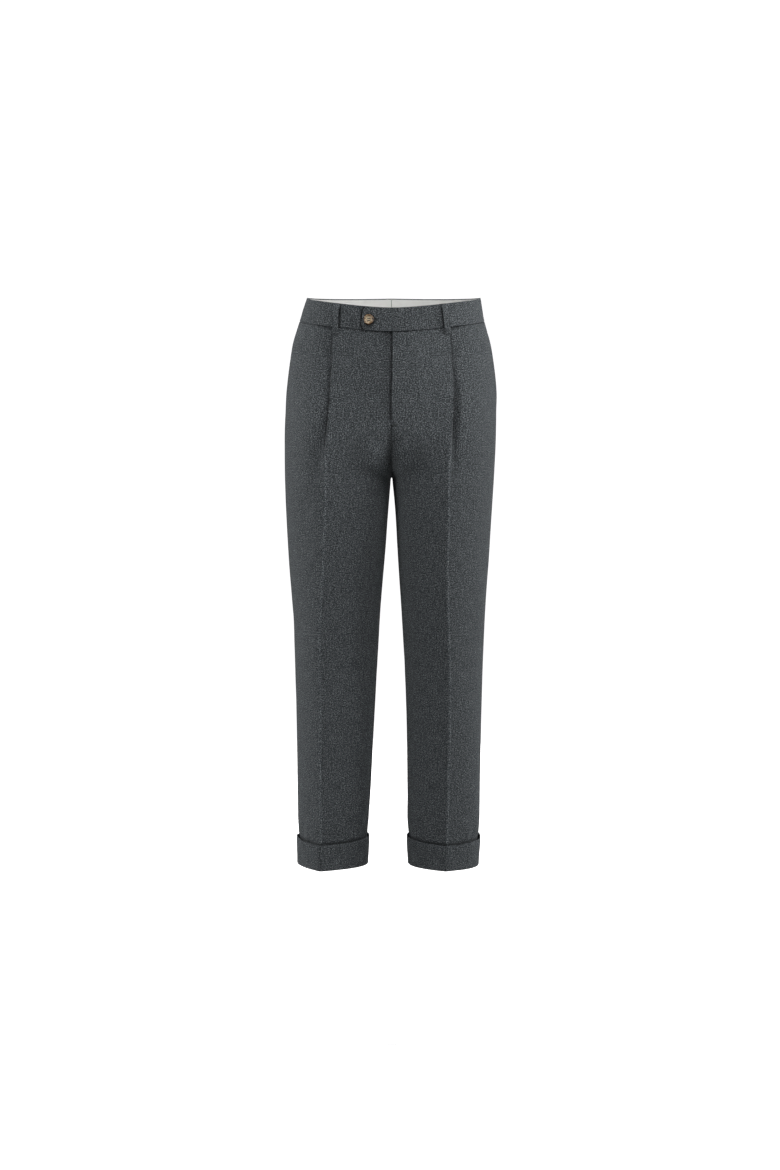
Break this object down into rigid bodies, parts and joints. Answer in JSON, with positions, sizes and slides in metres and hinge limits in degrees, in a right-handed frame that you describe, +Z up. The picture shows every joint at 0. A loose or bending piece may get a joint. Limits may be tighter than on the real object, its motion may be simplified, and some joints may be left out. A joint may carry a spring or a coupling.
{
  "type": "pleated dress trousers with turn-ups",
  "caption": "Pleated dress trousers in grey wool flannel, standing filled out, with an extended tab waistband, pressed creases and turn-ups.",
  "frame": {"origin": "middle of the waistband ring, at the height of the band on the centre front", "axes": "+Z up along the legs' length, -Y front, +X the wearer's left"},
  "size_m": [0.3661, 0.2613, 0.9944],
  "materials": {
    "flannel": "soft napped wool flannel, dark grey mixture with fine light and dark flecks, matt",
    "curtain_cotton": "plain-woven off-white cotton waistband curtain, matt",
    "horn": "polished mottled horn, tan middle and brown rim",
    "zip_tape": "dark woven zip tape with a closed coil chain"
  },
  "bodies": {
    "root": {"front_right": "flannel", "front_left": "flannel", "back_right": "flannel", "back_left": "flannel", "waistband_right": "flannel", "waistband_left": "flannel", "curtain_right": "curtain_cotton", "curtain_left": "curtain_cotton", "turnup_right": "flannel", "turnup_left": "flannel", "pocket_facing_right": "flannel", "pocket_facing_left": "flannel", "fly_shield": "flannel", "fly_zip": "zip_tape", "belt_loop_front_right": "flannel", "belt_loop_front_left": "flannel", "belt_loop_back_right": "flannel", "belt_loop_back_left": "flannel", "belt_loop_centre_back": "flannel", "waist_button": "horn"}
  },
  "joints": []
}
